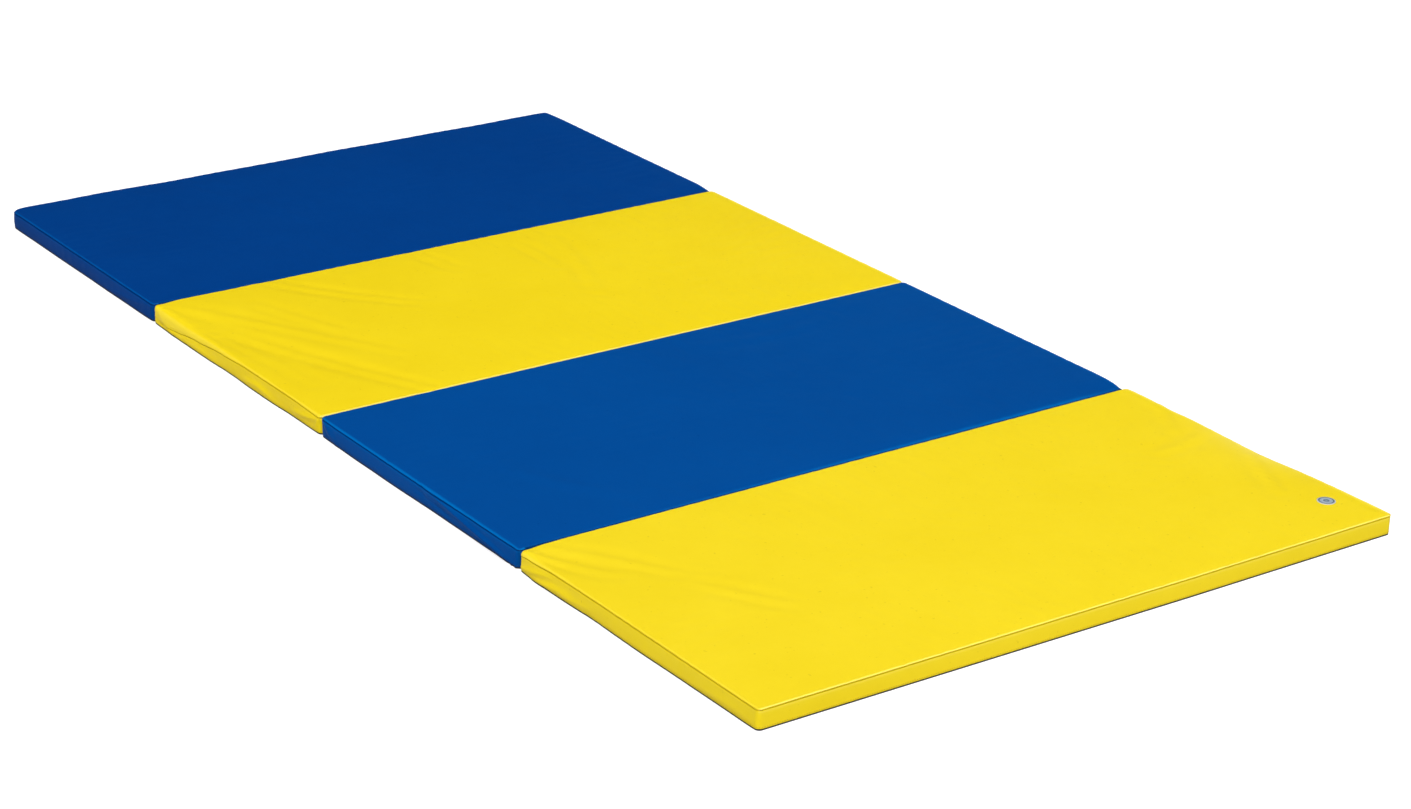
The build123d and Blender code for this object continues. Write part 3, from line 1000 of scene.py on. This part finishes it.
tape_weave, tree, shader, place = textured("tape_weave", 0.8)
shader.inputs["Specular IOR Level"].default_value = 0.2
warp = tree.nodes.new("ShaderNodeTexWave")
warp.bands_direction = "Z"
warp.inputs["Scale"].default_value = 500
weft = tree.nodes.new("ShaderNodeTexWave")
weft.bands_direction = "X"
weft.inputs["Scale"].default_value = 420
tree.links.new(place, warp.inputs["Vector"])
tree.links.new(place, weft.inputs["Vector"])
tree.links.new(
    colour_node(tree, ((0.012, 0.012, 0.014), (0.035, 0.035, 0.038)), warp.outputs["Fac"]),
    shader.inputs["Base Color"],
)
bump_on(tree, shader, [(warp.outputs["Fac"], 0.0002, 0.6), (weft.outputs["Fac"], 0.0002, 0.4)])

coil_nylon, tree, shader, place = textured("coil_nylon", 0.35)
tree.links.new(
    colour_node(tree, ((0.02, 0.02, 0.022), (0.04, 0.04, 0.045)), noise_at(tree, place, 400)),
    shader.inputs["Base Color"],
)
bump_on(tree, shader, [(noise_at(tree, place, 2500), 0.00005, 0.3)])

zip_metal, tree, shader, place = textured("zip_metal", 0.32)
shader.inputs["Metallic"].default_value = 1.0
tree.links.new(
    colour_node(tree, ((0.52, 0.52, 0.54), (0.66, 0.66, 0.67)), noise_at(tree, place, 350, 4.0)),
    shader.inputs["Base Color"],
)
tree.links.new(ranged(tree, noise_at(tree, place, 900, 5.0), 0.22, 0.45), shader.inputs["Roughness"])
bump_on(tree, shader, [(noise_at(tree, place, 1800, 3.0), 0.00006, 0.35)])

coil_pitch = 1.7 * MM
wire_radius = 0.34 * MM
slit_gap = 0.3 * MM
parted_gap = 1.6 * MM


def coil_link(tree, given, lay):
    """A wire bent across the line, for one turn of a coil."""
    loop = tree.nodes.new("GeometryNodeCurveQuadraticBezier")
    loop.inputs["Resolution"].default_value = 7
    for place_on_wire, side in (("Start", -0.5), ("End", 0.5)):
        end = tree.nodes.new("ShaderNodeCombineXYZ")
        tree.links.new(times(tree, given.outputs["Width"], side), end.inputs["Z"])
        tree.links.new(end.outputs["Vector"], loop.inputs[place_on_wire])
    crown = tree.nodes.new("ShaderNodeCombineXYZ")
    tree.links.new(times(tree, given.outputs["Height"], 2.0), crown.inputs["Y"])
    tree.links.new(crown.outputs["Vector"], loop.inputs["Middle"])
    section = tree.nodes.new("GeometryNodeCurvePrimitiveCircle")
    section.inputs["Resolution"].default_value = 5
    tree.links.new(given.outputs["Wire radius"], section.inputs["Radius"])
    wire = tree.nodes.new("GeometryNodeCurveToMesh")
    wire.inputs["Fill Caps"].default_value = True
    tree.links.new(loop.outputs["Curve"], wire.inputs["Curve"])
    tree.links.new(section.outputs["Curve"], wire.inputs["Profile Curve"])
    tree.links.new(wire.outputs["Mesh"], lay.inputs["Instance"])


coils = laying_tree("coil", ("Width", "Height", "Wire radius"), "Nylon", coil_link)

for k in cages:
    low, high = corners(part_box(f"zip_tape_{k}"))
    chain_low, chain_high = corners(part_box(f"zip_chain_{k}"))
    middle_z = (chain_low[2] + chain_high[2]) / 2
    halves = []
    parted_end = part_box(f"zip_stops_{k}")[1][0]
    for side in (-1, 1):
        closed = np.linspace(low[0], chain_high[0] - 2 * MM, 90)
        columns = np.concatenate([closed, [chain_high[0], parted_end]])
        inner = np.where(columns > chain_high[0] - 1 * MM, parted_gap, slit_gap)
        outer = (high[2] - low[2]) / 2
        rows = [inner + (outer - inner) * s for s in np.linspace(0, 1, 6)]
        halves.append(
            np.array([[(x, low[1], middle_z + side * r) for x, r in zip(columns, row)] for row in rows])
        )
    body, quads, count = [], [], 0
    for side, half in zip((-1, 1), halves):
        rows_count, columns_count = half.shape[:2]
        grid = count + np.arange(rows_count * columns_count).reshape(rows_count, columns_count)
        strip = np.stack([grid[:-1, :-1], grid[:-1, 1:], grid[1:, 1:], grid[1:, :-1]], -1).reshape(-1, 4)
        quads.append(strip if side < 0 else strip[:, ::-1])
        body.append(half.reshape(-1, 3))
        count += rows_count * columns_count
    tape = new_object(f"woven_tape_{k}", np.concatenate(body), np.concatenate(quads))
    tape.data.materials.append(tape_weave)
    thicken(tape, high[1] - low[1])
    tape.modifiers["thickness"].offset = 1
    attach(tape, f"panel_{k}")
    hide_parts(f"zip_tape_{k}")

    coil_line = bpy.data.curves.new(f"coil_{k}", "CURVE")
    coil_line.dimensions = "3D"
    spline = coil_line.splines.new("POLY")
    spline.points.add(1)
    spline.points[0].co = (chain_low[0] + wire_radius, chain_low[1] + wire_radius, middle_z, 1)
    spline.points[1].co = (chain_high[0] - wire_radius, chain_low[1] + wire_radius, middle_z, 1)
    start = bpy.data.objects.new(f"coil_{k}", coil_line)
    scene.collection.objects.link(start)
    sizes = {
        "Pitch": coil_pitch / 2,
        "Width": chain_high[2] - chain_low[2] - 2 * wire_radius,
        "Height": chain_high[1] - chain_low[1] - 2 * wire_radius,
        "Wire radius": wire_radius,
    }
    coil = geometry_result(f"coil_{k}", start, coils, {**sizes, "Nylon": coil_nylon})
    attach(coil, f"panel_{k}")
    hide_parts(f"zip_chain_{k}")

    for node in ("zip_stops", "zip_slider", "zip_pull"):
        for slot in frame["nodes"][f"{node}_{k}"].material_slots:
            slot.material = zip_metal


# ---- Badge ----------------------------------------------------------------------------------------------
# A thin moulded disc with a raised rim and a plain ring, welded to the last panel's face near its corner.

badge_metal, tree, shader, place = textured("badge_foil", 0.3)
shader.inputs["Metallic"].default_value = 0.35
low, high = corners(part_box("badge"))
centre = (low + high) / 2
badge_radius = (high[0] - low[0]) / 2
radial = tree.nodes.new("ShaderNodeVectorMath")
radial.operation = "DISTANCE"
radial.inputs[1].default_value = (centre[0], centre[1], high[2])
tree.links.new(place, radial.inputs[0])
bands = tree.nodes.new("ShaderNodeValToRGB")
bands.color_ramp.interpolation = "LINEAR"
bands.color_ramp.elements[0].position = 0.0
bands.color_ramp.elements[0].color = (0.36, 0.47, 0.58, 1)
bands.color_ramp.elements[1].position = 1.0
bands.color_ramp.elements[1].color = (0.62, 0.66, 0.7, 1)
ring_tones = {
    0.3: (0.13, 0.2, 0.28, 1),
    0.36: (0.5, 0.6, 0.7, 1),
    0.68: (0.46, 0.56, 0.66, 1),
    0.74: (0.1, 0.15, 0.2, 1),
    0.82: (0.1, 0.15, 0.2, 1),
    0.88: (0.6, 0.65, 0.7, 1),
}
for position, tone in ring_tones.items():
    bands.color_ramp.elements.new(position).color = tone
tree.links.new(times(tree, radial.outputs["Value"], 1 / badge_radius), bands.inputs["Fac"])
tree.links.new(bands.outputs["Color"], shader.inputs["Base Color"])
bump_on(tree, shader, [(noise_at(tree, place, 1500, 3.0), 0.00005, 0.4)])

ring_count = 48
last = cages[panel_count]
near = np.linalg.norm(last["points"][:, :2] - centre[:2], axis=1) < badge_radius
ground = last["points"][near][:, 2].max()
profile = [(0, 0.42), (0.28, 0.42), (0.31, 0.62), (0.35, 0.62), (0.38, 0.42), (0.7, 0.42), (0.73, 0.66)]
profile += [(0.84, 0.66), (0.87, 0.45), (0.97, 0.4), (1.0, 0.2), (1.0, -0.6)]
badge_points = [(centre[0], centre[1], ground + profile[0][1] * MM)]
for share, rise in profile[1:]:
    for i in range(ring_count):
        a = 2 * math.pi * i / ring_count
        badge_points.append(
            (
                centre[0] + share * badge_radius * math.cos(a),
                centre[1] + share * badge_radius * math.sin(a),
                ground + rise * MM,
            )
        )
badge_faces = [(0, 1 + i, 1 + (i + 1) % ring_count) for i in range(ring_count)]
for r in range(len(profile) - 2):
    first, second = 1 + r * ring_count, 1 + (r + 1) * ring_count
    for i in range(ring_count):
        n = (i + 1) % ring_count
        badge_faces.append((first + i, second + i, second + n, first + n))
badge_faces.append([1 + (len(profile) - 2) * ring_count + i for i in range(ring_count)][::-1])
badge = new_object("round_badge", np.array(badge_points), badge_faces)
badge.data.materials.append(badge_metal)
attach(badge, f"panel_{panel_count}")
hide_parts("badge")
